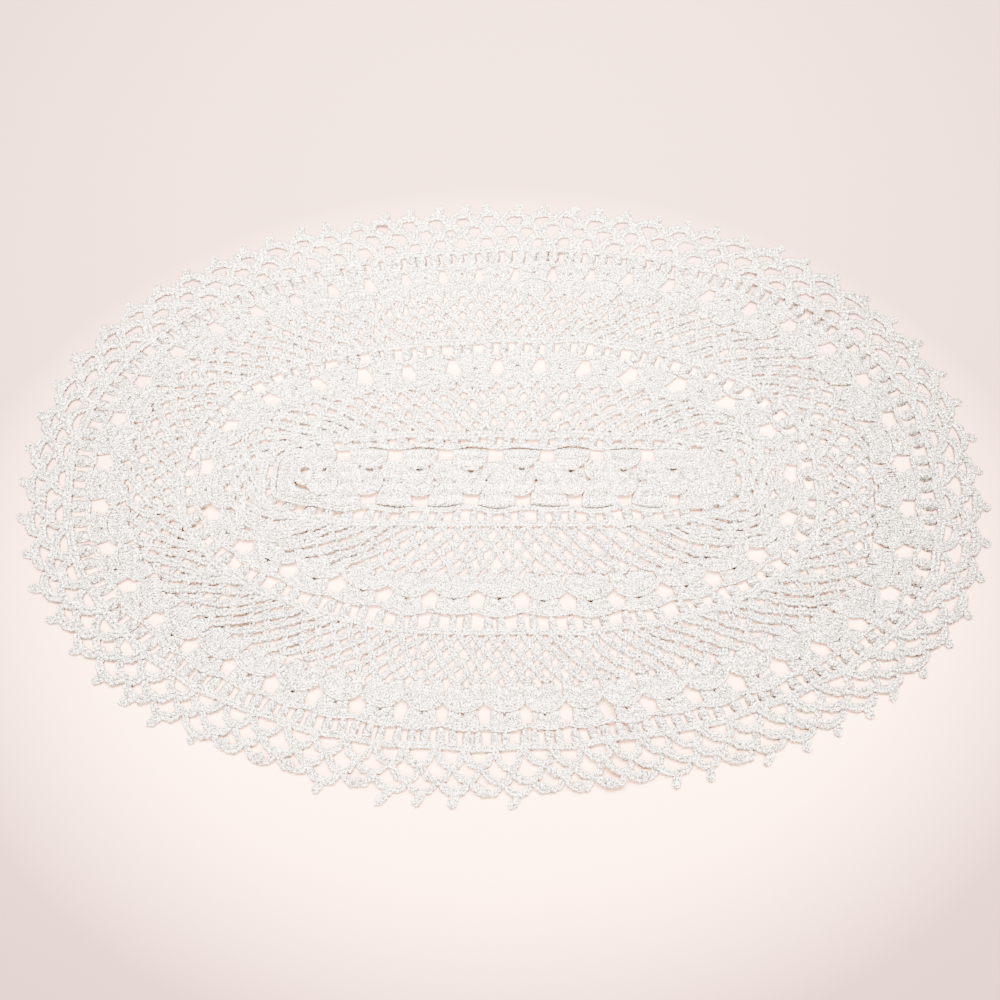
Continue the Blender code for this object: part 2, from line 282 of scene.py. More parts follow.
def spread(turn):
    """Share of the way round of a stitch, from its share of the round's count."""
    return (
        turn
        + 0.0095 * np.sin(4 * np.pi * turn)
        + 0.0018 * np.sin(2 * np.pi * turn)
        - 0.0030 * np.cos(2 * np.pi * turn)
    )


print("a quarter of the stitches take", round(float(spread(0.25) - spread(0.0)), 3), "of the girth")
print("strands are", round(float(fuller(0.5)), 2), "times as wide at the left end")

# %% [markdown]
# ## The yarn
#
# A strand of yarn is a thin tube. Blender can bevel a curve into tubes, but this doily has tens of
# thousands of short strands, and each curve is an object or a spline with its own cost. Building one mesh
# from arrays is quick: a strand is a row of small rings, closed to a point at both ends, where it dives
# under its neighbours. Every corner also remembers how far along its strand it is and how far round,
# which the material needs for the twist of the yarn. Last of all the points are pressed: the cloth lies
# flatter at both ends and on the far side, and no strand sinks into the table.

# %% Press points towards the table
PRESSED_AT_ENDS = 0.34  # shares of its height that the cloth loses
PRESSED_ON_FAR_SIDE = 0.40
PRESSED_MOST = 0.45
PRESSED_HALF_LENGTH = 200  # in mm, where the ends and the far side are reached
PRESSED_HALF_DEPTH = 110
LEAST_HEIGHT = 0.04


def press(points):
    """Points in mm, lowered towards the table."""
    ends = np.minimum((points[:, 0] / PRESSED_HALF_LENGTH) ** 2, 1)
    far = np.clip(points[:, 1] / PRESSED_HALF_DEPTH, 0, 1)
    lost = PRESSED_AT_ENDS * ends + PRESSED_ON_FAR_SIDE * far
    points[:, 2] *= 1 - np.minimum(lost, PRESSED_MOST)
    points[:, 2] = np.maximum(points[:, 2], LEAST_HEIGHT)
    return points


print("2 mm of height at the left end becomes", press(np.array([[-200.0, 0.0, 2.0]]))[0, 2].round(2), "mm")

# %% Build strands as one mesh
class Yarn:
    """Collects strands of yarn, and makes one object of them."""

    def __init__(self, name):
        self.name = name
        self.points = []
        self.corners = []
        self.sizes = []
        self.tags = []
        self.count = 0

    def strands(self, centres, radii, sides=5, flat=0.9):
        """centres: (strands, stations, 3) in mm. radii: one for each station that isn't an end."""
        centres = np.asarray(centres, float)
        many, stations = centres.shape[:2]
        radii = np.broadcast_to(np.asarray(radii, float), (many, stations - 2))
        forward = np.gradient(centres, axis=1) + 1e-6
        across = np.cross(forward, [0.0, 0.0, 1.0])
        across /= np.linalg.norm(across, axis=-1, keepdims=True) + 1e-9
        over = np.cross(across, forward)
        over /= np.linalg.norm(over, axis=-1, keepdims=True) + 1e-9
        angle = 2 * np.pi * np.arange(sides) / sides
        rings = (
            centres[:, 1:-1, None, :]
            + (radii[..., None] * np.cos(angle))[..., None] * across[:, 1:-1, None, :]
            + (radii[..., None] * np.sin(angle) * flat)[..., None] * over[:, 1:-1, None, :]
        ).reshape(many, -1, 3)
        points = np.concatenate([centres[:, :1], rings, centres[:, -1:]], axis=1)
        steps = np.linalg.norm(np.diff(centres, axis=1), axis=-1)
        run = np.concatenate([np.zeros((many, 1)), np.cumsum(steps, axis=1)], axis=1)
        corners, sizes, ring_of, turn_of = self.faces_of_one(stations, sides)
        first = self.count + np.arange(many)[:, None] * points.shape[1]
        self.corners.append((corners[None, :] + first).reshape(-1))
        self.sizes.append(np.tile(sizes, many))
        mark = dice.random((many, 1)) + np.zeros(len(corners))
        tags = np.stack([run[:, ring_of], np.broadcast_to(turn_of, mark.shape), mark], axis=-1)
        self.tags.append(tags.reshape(-1, 3))
        self.points.append(points.reshape(-1, 3))
        self.count += many * points.shape[1]

    @staticmethod
    def faces_of_one(stations, sides):
        """Corners of one strand's faces, faces' sizes, and each corner's station and turn."""
        corners, sizes, ring_of, turn_of = [], [], [], []
        last = (stations - 2) * sides + 1
        for side in range(sides):
            after = (side + 1) % sides
            corners += [0, 1 + side, 1 + after]
            ring_of += [0, 1, 1]
            turn_of += [(side + 0.5) / sides, side / sides, (side + 1) / sides]
            sizes.append(3)
            for ring in range(stations - 3):
                near, far = 1 + ring * sides, 1 + (ring + 1) * sides
                corners += [near + side, far + side, far + after, near + after]
                ring_of += [ring + 1, ring + 2, ring + 2, ring + 1]
                turn_of += [side / sides, side / sides, (side + 1) / sides, (side + 1) / sides]
                sizes.append(4)
            near = last - sides
            corners += [near + side, last, near + after]
            ring_of += [stations - 2, stations - 1, stations - 2]
            turn_of += [side / sides, (side + 0.5) / sides, (side + 1) / sides]
            sizes.append(3)
        return np.array(corners), np.array(sizes), np.array(ring_of), np.array(turn_of)

    def build(self):
        """One mesh object of all strands, in metres."""
        points = press(np.concatenate(self.points))
        points = (points - [MIDDLE[0], MIDDLE[1], 0.0]) * MM
        corners = np.concatenate(self.corners)
        sizes = np.concatenate(self.sizes)
        starts = np.concatenate([[0], np.cumsum(sizes)[:-1]])
        mesh = bpy.data.meshes.new(self.name)
        mesh.vertices.add(len(points))
        mesh.vertices.foreach_set("co", points.astype(np.float32).ravel())
        mesh.loops.add(len(corners))
        mesh.loops.foreach_set("vertex_index", corners.astype(np.int32))
        mesh.polygons.add(len(sizes))
        mesh.polygons.foreach_set("loop_start", starts.astype(np.int32))
        mesh.update(calc_edges=True)
        mesh.shade_smooth()
        tag = mesh.attributes.new("strand", "FLOAT_VECTOR", "CORNER")
        tag.data.foreach_set("vector", np.concatenate(self.tags).astype(np.float32).ravel())
        thing = bpy.data.objects.new(self.name, mesh)
        bpy.context.scene.collection.objects.link(thing)
        triangles = int((sizes - 2).sum())
        print(f"{self.name}: {triangles} triangles")
        return thing


print("one grain of yarn has", int((Yarn.faces_of_one(5, 5)[1] - 2).sum()), "triangles")

# %% [markdown]
# ## Lines for the yarn to follow
#
# A chain of stitches bends smoothly through a few points. A Catmull-Rom spline passes through every point
# it is given, so the pattern's own points can be used as they are. `beside` then finds points at a
# distance along, beside and above such a line.

# %% Bend a line through points, and find points beside it
EXTRA = 4.0  # mm that a line is carried straight on at both ends


def smooth(points, steps=6):
    """A line that bends through points, with so many steps between two of them."""
    points = np.asarray(points, float)
    before = 2 * points[0] - points[1]
    after = 2 * points[-1] - points[-2]
    knots = np.vstack([before, points, after])
    t = np.linspace(0, 1, steps, endpoint=False)[None, :, None]
    a, b, c, d = [knots[i : len(knots) - 3 + i][:, None, :] for i in range(4)]
    line = 0.5 * (2 * b + (c - a) * t + (2 * a - 5 * b + 4 * c - d) * t**2 + (3 * b - a - 3 * c + d) * t**3)
    return np.vstack([line.reshape(-1, 3), points[-1:]])


def lengthened(line):
    """The same line, carried straight on at both ends."""
    start = line[0] - line[1]
    end = line[-1] - line[-2]
    start = line[0] + EXTRA * start / np.linalg.norm(start)
    end = line[-1] + EXTRA * end / np.linalg.norm(end)
    return np.vstack([start, line, end])


def run_of(line):
    """How far along a line each of its points is."""
    return np.concatenate([[0], np.cumsum(np.linalg.norm(np.diff(line, axis=0), axis=1))])


def beside(line, along, side, up):
    """Points at a distance along a line, to its left and above it, all in mm."""
    line = lengthened(line)
    run = run_of(line) - EXTRA
    here = np.stack([np.interp(along, run, line[:, axis]) for axis in range(3)], axis=-1)
    ahead = np.stack([np.interp(along + 0.5, run, line[:, axis]) for axis in range(2)], axis=-1)
    behind = np.stack([np.interp(along - 0.5, run, line[:, axis]) for axis in range(2)], axis=-1)
    way = ahead - behind
    way /= np.linalg.norm(way, axis=-1, keepdims=True) + 1e-9
    here[..., 0] -= side * way[..., 1]
    here[..., 1] += side * way[..., 0]
    here[..., 2] += up
    return here


def evenly(line, count):
    """Points at even distances along a line."""
    run = run_of(line)
    return np.stack([np.interp(np.linspace(0, run[-1], count), run, axis) for axis in line.T], axis=-1)


print("a bent line of", round(run_of(smooth([[0, 0, 0], [5, 5, 0], [10, 0, 0]]))[-1], 2), "mm")

# %% [markdown]
# ## The chain stitch
#
# Seen from above, a chain is a row of Vs: each loop's two legs start together, spread, and dive under the
# next loop. Two grains of yarn make the V, and a plain cord beneath them stands for the backs of the
# stitches. Grains that overlap read as one yarn, and they cost a tenth of a loop that is really pulled
# through. The cords of the whole doily are kept in one piece: it is the sheet that the stitches lie on.

# %% Lay chain stitches along a line
LEG_ALONG = np.array([-0.20, 0.15, 0.55, 0.95, 1.35])  # in stitches
LEG_SIDE = np.array([0.03, 0.14, 0.23, 0.25, 0.16])  # in widths of the chain
LEG_UP = np.array([-0.14, 0.10, 0.18, 0.10, -0.20])
LEG_RADII = np.array([0.20, 0.25, 0.21])
CORD_UP = -0.14
CORD_RADIUS = 0.36
CHAIN_WIDTH = 2.5
CHAIN_PITCH = 2.35


def chain(yarn, line, width=CHAIN_WIDTH, pitch=CHAIN_PITCH, sides=5):
    """A row of chain stitches along a line. Its width is one number, or one for each point."""
    run = run_of(line)
    count = max(2, round(run[-1] / pitch))
    pitch = run[-1] / count
    width = np.broadcast_to(width, len(line))
    starts = (np.arange(count) * pitch)[:, None]
    size = np.interp(starts, run, width) * (1 + 0.07 * dice.standard_normal((count, 1)))
    for hand in (-1, 1):
        along = starts + LEG_ALONG * pitch + 0.06 * dice.standard_normal((count, 1))
        yarn.strands(beside(line, along, hand * LEG_SIDE * size, LEG_UP * size), LEG_RADII * size, sides)
    along = np.linspace(0, run[-1], count + 1)[None, :]
    size = np.interp(along, run, width)
    centres = beside(line, along, 0.0 * along, CORD_UP * size)
    cords.strands(centres, CORD_RADIUS * size[:, 1:-1], flat=0.7)
    return count


cords = Yarn("cloth")
sample = Yarn("sample")
stitches = chain(sample, np.array([[0.0, 0.0, 0.0], [10.0, 0.0, 0.0], [20.0, 0.0, 0.0]]))
print("20 mm of chain:", stitches, "stitches,", sum(int((s - 2).sum()) for s in sample.sizes), "triangles")

# %% [markdown]
# ## The tall stitch
#
# A double or treble crochet is a post: the yarn goes round the hook before it is drawn up, so two legs
# twist round each other and a short bar crosses them. The post is drawn standing on its foot, and its
# head is hidden under the chain that runs along the tops.

# %% Stand tall stitches between pairs of points
POST_AT = np.linspace(-0.06, 1.06, 7)  # in lengths of the stitch, from its foot
POST_TURNS = 1.1
CORD_AT = np.linspace(-0.05, 1.05, 4)
BAR_AT = np.array([0.30, 0.42, 0.58, 0.70])
BAR_SIDE = np.array([-0.42, -0.16, 0.16, 0.42])  # in widths of the stitch
BAR_UP = np.array([-0.05, 0.36, 0.36, -0.05])


def posts(yarn, feet, heads, width=2.5, crown=0.5):
    """Tall stitches from feet to heads, both (stitches, 3) in mm. They stand up by their crown."""
    feet, heads = np.asarray(feet, float), np.asarray(heads, float)
    many = len(feet)
    way = heads - feet
    flat_way = way[:, :2] / np.linalg.norm(way[:, :2], axis=1, keepdims=True)
    side_way = np.stack([-flat_way[:, 1], flat_way[:, 0], np.zeros(many)], axis=1)

    def at(where, side, up):
        spine = feet[:, None, :] + way[:, None, :] * where[..., None]
        spine = spine + side[..., None] * side_way[:, None, :]
        spine[..., 2] += up + crown * np.sin(np.pi * np.clip(where, 0, 1))
        return spine

    size = width * (1 + 0.06 * dice.standard_normal((many, 1)))
    start = dice.uniform(-0.5, 0.5, (many, 1))
    for half in (0, 1):
        angle = 2 * np.pi * (POST_TURNS * POST_AT[None, :] + half / 2) + start
        where = POST_AT[None, :] + 0 * angle
        side = 0.20 * size * np.cos(angle)
        up = 0.10 * size * np.sin(angle)
        yarn.strands(at(where, side, up), 0.28 * size)
    where = CORD_AT[None, :] + np.zeros((many, 1))
    cords.strands(at(where, 0 * where, 0 * where - 0.06 * size), 0.52 * size, flat=0.6)
    where = BAR_AT[None, :] + dice.uniform(-0.06, 0.06, (many, 1))
    yarn.strands(at(where, BAR_SIDE * size, BAR_UP * size), 0.16 * size, sides=4)


sample = Yarn("sample")
posts(sample, [[0, 0, 0]], [[0, 7, 0]])
print("one tall stitch:", sum(int((s - 2).sum()) for s in sample.sizes), "triangles")
cords = Yarn("cloth")

# %% [markdown]
# ## Rounds of posts and chain
#
# A ladder is the plainest round: single posts with a space between them, and a chain along their heads.
# Three rounds are made so. The chain is worked last, so it sits on the heads and stands a little higher.
# Every post leans a little, by its own draw of the dice, because evenly upright posts look like a fence.

# %% Work a ladder round
RING_SHARES = np.linspace(0, 1, 361)
LADDER_POST_WIDTH = 4.1
LADDER_CHAIN_WIDTH = 3.3


def ladder(yarn, level, count):
    """Posts that stand on the round inside, and the chain over their heads."""
    turn = (np.arange(count) + 0.5 + 0.09 * dice.standard_normal(count)) / count
    share = spread(turn)
    lean = 0.25 * dice.standard_normal(count) / girth(level)
    feet = cloth(share, level - 1, -0.6, 0.95)
    heads = cloth(share + lean, level, -0.5, 1.05)
    posts(yarn, feet, heads, width=LADDER_POST_WIDTH * fuller(share)[:, None], crown=0.10)
    line = cloth(RING_SHARES, level, 0.0, 1.35)
    chain(yarn, line, width=LADDER_CHAIN_WIDTH * fuller(RING_SHARES))


for name in ("ladder_0", "ladder_1", "ladder_2"):
    print(name, "is", round(float(girth(LEVEL[name]))), "mm round")

# %% [markdown]
# ## Mesh and net
#
# Mesh is rows of chain loops, each hung from the tops of two loops before it. A loop is one smooth bend
# from a joint up to its own top and down to the next joint. Where a loop is pulled by the next row it is
# nearly pointed, and where only a short chain pulls it, as in the open net at the edge, it is squarer.
# The joint itself is a small firm knot that grips the loop below. Each loop has one leg that lies on top
# of its neighbours and one that lies beneath. Along a stretch of the round it is always the same leg, so
# the upper legs line up into slanting ropes. `ROPES` says for each stretch which leg that is.

# %% Work rows of chain loops
POINTED = [(-0.50, 0.0), (-0.38, 0.34), (-0.22, 0.82), (0.0, 1.0), (0.22, 0.82), (0.38, 0.34), (0.50, 0.0)]
SQUARE = [(-0.50, 0.0), (-0.42, 0.28), (-0.32, 0.80), (-0.15, 1.01), (0.0, 1.0)]
SQUARE = SQUARE + [(-x, y) for x, y in SQUARE[-2::-1]]
ROPES = [(0, 0), (0.06, -0.5), (0.25, 0), (0.44, 0.5), (0.5, 0), (0.57, -0.9), (0.63, -0.8), (0.67, 0)]
ROPES += [(0.72, 0.7), (0.8, 1), (0.93, 1), (1, 0)]
KNOT_AT = np.array([-0.45, 0.05, 0.60, 1.15])
KNOT_UP = np.array([-0.15, 0.40, 0.45, -0.2])
LOOP_HEIGHT = 0.85
UPPER_LEG_LIFT = 0.45  # mm that the upper leg stands higher than the middle of its loop
UPPER_LEG_SWELL = 0.16  # and how much fuller it is drawn


def loop_line(left, right, top, shape):
    """A bent line from one joint over a loop's top to the next joint."""
    base = (left + right) / 2
    across, out = right - left, top - base
    return smooth([base + x * across + y * out for x, y in shape], steps=4)


def knots(yarn, feet, heads, width):
    """Short firm grains that grip a loop, two at each joint."""
    way = heads - feet
    side_way = np.stack([-way[:, 1], way[:, 0], 0 * way[:, 0]], axis=1)
    side_way /= np.linalg.norm(side_way, axis=1, keepdims=True)
    for hand in (-1, 1):
        grip = feet[:, None, :] + way[:, None, :] * KNOT_AT[None, :, None]
        grip = grip + (hand * 0.24 * width) * side_way[:, None, :]
        grip[..., 2] += KNOT_UP * width * 0.8
        yarn.strands(grip, 0.23 * width)


def rope(share):
    """1 where the legs that lead outwards and anticlockwise lie on top, -1 where the others do."""
    places, values = zip(*ROPES)
    return np.interp(share % 1, places, values)


def loops(yarn, joints, shape, width, sides=5):
    """Rows of loops. joints[row] holds that row's tops, as (count, 2) shares and levels."""
    rows = [cloth(row[:, 0], row[:, 1], 0.0, LOOP_HEIGHT) for row in joints]
    for row in range(1, len(rows)):
        below, tops = rows[row - 1], rows[row]
        count = len(tops)
        for loop in range(count):
            first = (loop - row % 2) % count
            left, right, top = below[first], below[(first + 1) % count], tops[loop]
            line = loop_line(left, right, top, shape)
            share = joints[row][loop, 0]
            along = np.linspace(-1, 1, len(line))
            over = -rope(share) * np.sin(np.pi / 2 * along)
            line[:, 2] += 0.15 + 0.3 * along**2 + UPPER_LEG_LIFT * over + 0.12 * dice.standard_normal()
            full = fuller(share) + UPPER_LEG_SWELL * over + 0.05 * dice.standard_normal()
            chain(yarn, line, width=width * full, sides=sides)
        if row < len(rows) - 1:
            out = cloth(joints[row][:, 0], joints[row][:, 1], 1.6, LOOP_HEIGHT + 0.1)
            knots(yarn, tops, out, width)


print("a pointed loop bends through", len(POINTED), "points, a square one through", len(SQUARE))

# %% [markdown]
# The joints are a mesh's whole plan. Each row has as many as the row before it, half a loop further on,
# and they move a little round the oval from row to row, since a hook always leans to the same hand. Both
# meshes have five rows, and only their rounds and their counts differ.

# %% Plan the joints of a mesh
MESH_ROWS = 5
MESH_DRIFT = -0.0006
MESH_COUNTS = {"mesh_1": 56, "mesh_2": 96}


def mesh_joints(first, last, count):
    """Joints of a mesh between two rounds, row 0 on the first one."""
    joints = []
    for row in range(MESH_ROWS + 1):
        turn = (np.arange(count) + (0.0 if row % 2 else 0.5)) / count
        turn = turn + 0.05 / count * dice.standard_normal(count)
        level = first + (last - first) * row / MESH_ROWS + 0.03 * dice.standard_normal(count)
        share = spread(turn) + MESH_DRIFT * row
        joints.append(np.column_stack([share, level if row else np.full(count, first)]))
    return joints


mesh_1_joints = mesh_joints(LEVEL["ladder_0"], LEVEL["mesh_1_end"], MESH_COUNTS["mesh_1"])
mesh_2_joints = mesh_joints(LEVEL["ladder_1"], LEVEL["mesh_2_end"], MESH_COUNTS["mesh_2"])
for name, count in MESH_COUNTS.items():
    print(name, "has", MESH_ROWS * count, "loops")

# %% [markdown]
# ## Bands of fans
#
# A fan is a group of tall stitches worked into one place, so its feet crowd together and its heads
# spread. Each band has two rows of them: inner fans side by side, whose heads make a scalloped rim, and
# outer fans that stand on the middle of each scallop and leave a five-sided opening over every dip. The
# middle feet of a fan stand a little further out than the rest, which leaves a small dark eye below them.
# On the far side the outer fans are drawn out further and their heads open a little wider.

# %% Shape a fan
FAN_CHAIN_WIDTH = 2.4
RIM_DIP = -0.9  # how far out the rim is at a dip and at a crest, in mm
RIM_CREST = 3.2
INNER_FEET = 0.80  # shares of its scallop's width that a fan takes
OUTER_HEADS = 0.68
OUTER_OPENED = 0.14  # and what the heads open further on the far side


def bell(where, width):
    """1 at the middle, and falling away softly on both sides."""
    return np.exp(-((where / width) ** 2))


def closed(rim):
    """Rows of points as one line that ends where it began."""
    rim = rim.reshape(-1, 3)
    return np.vstack([rim, rim[:1]])


def scallop(across, dip, crest):
    """How far out a scalloped rim is, at -1 to 1 across one scallop."""
    return dip + (crest - dip) * (1 - np.abs(across) ** 2.2)


def post_width(heads):
    """Stitches side by side are squeezed or loosened to fill their fan."""
    gaps = np.linalg.norm(heads[:, -1] - heads[:, 0], axis=-1) / (heads.shape[1] - 1)
    return np.repeat(np.clip(1.35 * gaps, 2.1, 4.8), heads.shape[1])[:, None]


sample_heads = np.array([[[0.0, 0.0, 0.0], [2.0, 0.0, 0.0], [4.0, 0.0, 0.0]]])
print("stitches 2 mm apart are drawn", post_width(sample_heads)[0, 0], "mm wide")

# %% Work a band of fans
FANS_1 = {"count": 29, "start": 0.0085, "inner": -4.6, "outer_bow": 1.8, "feet_spread": 0.46, "number": 13}
FANS_2 = {"count": 48, "start": 0.0110, "inner": -3.6, "outer_bow": 1.4, "feet_spread": 0.50, "number": 12}


def fan_band(yarn, first, valley, last, count, start, inner, outer_bow, feet_spread, number):
    """Inner fans, their rim, outer fans and the edge over them, each fan of a number of stitches."""
    middle = spread((np.arange(count) + 0.5) / count) + start
    before = spread(np.arange(count) / count) + start
    after = spread((np.arange(count) + 1) / count) + start
    half_before, half_after = middle - before, after - middle
    dip, crest = inner + RIM_DIP, inner + RIM_CREST

    def across(fraction):
        """Share at -1 to 1 across each fan, as (fans, fractions)."""
        fraction = np.asarray(fraction)[None, :]
        half = np.where(fraction < 0, half_before[:, None], half_after[:, None])
        return middle[:, None] + fraction * half

    reach = np.linspace(-0.92, 0.92, number)
    feet_out = 0.3 + 2.2 * bell(reach, 0.17)
    feet = cloth(across(INNER_FEET * reach), first, feet_out[None, :], 0.95)
    heads = cloth(across(reach), valley, scallop(reach, dip, crest)[None, :] - 0.4, 1.6)
    posts(yarn, feet.reshape(-1, 3), heads.reshape(-1, 3), width=post_width(heads), crown=0.5)

    edge = np.linspace(-1, 1, 13)[:-1]
    notch = 1.3 * (edge == -1)
    rim = cloth(across(edge), valley, (scallop(edge, dip, crest) - notch)[None, :], 2.1)
    chain(yarn, closed(rim), width=FAN_CHAIN_WIDTH)

    reach = np.linspace(-1, 1, number)
    far = np.maximum(np.sin(2 * np.pi * middle), 0)[:, None]
    feet_out = crest + 0.4 - 1.7 * np.abs(reach) ** 2 + (2.0 + 1.4 * far) * bell(reach, 0.2)
    feet = cloth(across(feet_spread * reach), valley, feet_out, 1.0)
    bow = outer_bow * np.abs(reach) ** 2
    opened = OUTER_OPENED * far * reach * half_after[:, None]
    heads = cloth(across(OUTER_HEADS * reach) + opened, last, -0.5 - bow[None, :], 1.4)
    posts(yarn, feet.reshape(-1, 3), heads.reshape(-1, 3), width=post_width(heads), crown=0.6)

    rim = cloth(across(edge), last, -0.5 - outer_bow * np.abs(edge[None, :]) ** 2, 1.9)
    chain(yarn, closed(rim), width=FAN_CHAIN_WIDTH)


for name, band in (("fans_1", FANS_1), ("fans_2", FANS_2)):
    print(name, "has", 2 * band["count"] * band["number"], "tall stitches")

# %% [markdown]
# ## The middle
#
# The doily starts with a braid along its long axis: lobes worked alternately to the two sides, each a
# small fan turned back on itself. It is the one part that follows no oval, so its points are given
# straight in millimetres, and a lobe is drawn facing any angle. The far lobes are drawn shallower than
# the near ones, because the shells beyond them have pushed them back.

# %% Work the braid
LOBE_PITCH = 22.0
LOBES_NEAR = -79.7  # where the first lobe of each side stands
LOBES_FAR = -68.0
LOBE_COUNT = 8
LOBE_HALF_WIDTH = 5.3
LOBE_HALF_DEPTH = 5.6
LOBE_CENTRE = 2.6  # how far out of its own place a lobe's middle lies
FAR_LOBE_DEPTH = 0.5  # as a share of a near lobe's


def flat_points(x, y, height):
    """Points in mm at places on the table, with the wobble and the ripples of the cloth."""
    x, y, height = np.broadcast_arrays(*[np.asarray(v, float) for v in (x, y, height)])
    side, back = wander(x, y)
    return np.stack([x + side, y + back, height + lift(x, y)], axis=-1)


def turned(x, y, angle, across, out, height):
    """Points at a distance across and out from a place, facing an angle."""
    step_x = across * math.sin(angle) + out * math.cos(angle)
    step_y = out * math.sin(angle) - across * math.cos(angle)
    return flat_points(x + step_x, y + step_y, height)


def lobe_line(x, y, angle, size, height, depth):
    """The rim of a lobe that faces an angle: most of a U."""
    fan = np.radians(np.linspace(-146, 146, 49))
    across = LOBE_HALF_WIDTH * size * np.sign(np.sin(fan)) * np.abs(np.sin(fan)) ** 0.75
    bend = np.sign(np.cos(fan)) * np.abs(np.cos(fan)) ** 0.9
    out = LOBE_CENTRE + LOBE_HALF_DEPTH * np.where(bend > 0, depth * bend, bend) + 1.5 * (size - 1)
    return turned(x, y, angle, across, out, height)


def lobe(yarn, x, y, angle, depth=1.0, number=15):
    """A tall fan: its feet share one place, and its heads stand round the rim."""
    reach = np.linspace(-1, 1, number)
    feet = turned(x, y, angle, 2.2 * reach, -2.2 - 1.4 * reach**2, 1.4)
    heads = evenly(lobe_line(x, y, angle, 0.93, 2.0, depth), number)
    posts(yarn, feet, heads, width=2.8, crown=1.0)
    chain(yarn, lobe_line(x, y, angle, 1.0, 2.5, depth), width=2.4)


def ring(yarn, x, y, hole, outside, number=18):
    """A lobe that closes on itself round a small hole."""
    turn = np.linspace(0, 2 * np.pi, number, endpoint=False)
    feet = flat_points(x + hole * np.cos(turn), y + hole * np.sin(turn), 1.2)
    heads = flat_points(x + outside * np.cos(turn), y + outside * np.sin(turn), 1.3)
    posts(yarn, feet, heads, width=2.4, crown=0.9)
    turn = np.linspace(0, 2 * np.pi, 37)
    chain(yarn, flat_points(x + outside * np.cos(turn), y + outside * np.sin(turn), 1.9), width=2.1)


def braid(yarn):
    """Near and far lobes by turns, a ring at the left end and a lobe that faces right."""
    for number in range(LOBE_COUNT):
        room_for_ring = 2.0 if number == 0 else 0.0
        lobe(yarn, LOBES_NEAR + number * LOBE_PITCH + room_for_ring, -0.4, -math.pi / 2)
        if number < LOBE_COUNT - 1:
            lobe(yarn, LOBES_FAR + number * LOBE_PITCH, 0.4, math.pi / 2, depth=FAR_LOBE_DEPTH)
    ring(yarn, -84.3, 1.8, hole=2.0, outside=6.2)
    lobe(yarn, 81.5, 0.0, 0.0)


middle = Yarn("middle")
braid(middle)
print("the braid has", 2 * LOBE_COUNT, "lobes and a ring")

# %% [markdown]
# Shells frame the braid. A shell is a wide fan that stands on a small arch of chain, opposite a notch
# between two lobes, and at both ends of the braid one large fan turns the corner. A chain runs over all
# their heads and closes them to the first oval. On the far side, where the lobes are shallow, the shells'
# feet are further apart and further from the axis, so each side has a row of its own in `SHELLS`.

# %% Work the shells that frame the braid
SHELLS = [
    # side  first shell   feet   heads  base: how far the feet stand from the axis
    (-1,    LOBES_FAR,    4.6,    7.6,   1.9),
    (1,     LOBES_NEAR,   5.8,    7.4,   3.2),
]


def gap_wave(share):
    """The shells' edge dips a little over the gap beside each lobe."""
    point = read_table(share, np.zeros_like(share))
    first = np.where(point[..., 1] < 0, LOBES_NEAR, LOBES_FAR)
    ripple = np.cos(2 * np.pi * (point[..., 0] - first) / LOBE_PITCH)
    return -0.3 - 0.7 * ripple * (np.abs(point[..., 0]) < 86)


def shells(yarn):
    """Shells along both sides and round both ends, and the chain over their heads."""
    for side, first, spread_in, spread_out, base in SHELLS:
        for number in range(LOBE_COUNT):
            x = first + number * LOBE_PITCH
            reach = np.linspace(-1, 1, 13)
            feet = flat_points(x + spread_in * reach, side * (base + 2.2 * np.abs(reach)), 1.0)
            heads = flat_points(x + spread_out * reach, side * (13.6 - 0.6 * np.abs(reach)) - 0.8, 1.3)
            posts(yarn, feet, heads, width=2.6, crown=0.9)
            arc = np.linspace(-1, 1, 9)
            arch = flat_points(x + 5.4 * arc, side * (base + 0.6 + 2.2 * arc**2), 1.8)
            chain(yarn, arch, width=2.2)
    for around, middle_share in ((80.0, 0.0), (-80.0, 0.5)):
        share = middle_share + np.linspace(-0.5, 0.5, 33) * 0.15
        heads = cloth(share, 0.0, -1.0, 1.3)
        centre = np.array([around, 0.0, 0.0])
        feet = centre + (heads - centre) * np.array([0.52, 0.52, 1.0])
        posts(yarn, feet, heads, width=2.6, crown=0.9)
    line = cloth(RING_SHARES, 0, -0.2 + gap_wave(RING_SHARES), 1.5)
    line[:, 2] += 2.2 * bell(RING_SHARES - 0.54, 0.06)  # pulled up over the shells at the left end
    chain(yarn, line, width=2.6)


shells(middle)
print("the braid is framed by", len(SHELLS) * LOBE_COUNT, "shells and two large fans")

# %% [markdown]
# ## The inner and the outer rounds
#
# With a ladder, a mesh and a band of fans at hand, the rounds are worked in the order of the hook. The
# same three come twice, with more stitches the second time. Mesh strands have four sides and not five,
# because there are so many that the fifth would cost more than it shows.

# %% Work the first ladder, mesh 1 and the first band
MESH_WIDTH = 2.9

ladder(middle, LEVEL["ladder_0"], count=55)
mesh_1 = Yarn("mesh_1")
loops(mesh_1, mesh_1_joints, POINTED, width=MESH_WIDTH, sides=4)
fans_1 = Yarn("fans_1")
fan_band(fans_1, LEVEL["mesh_1_end"], LEVEL["fans_1_valley"], LEVEL["fans_1_end"], **FANS_1)
print("the inner rounds have", mesh_1.count + fans_1.count, "points")

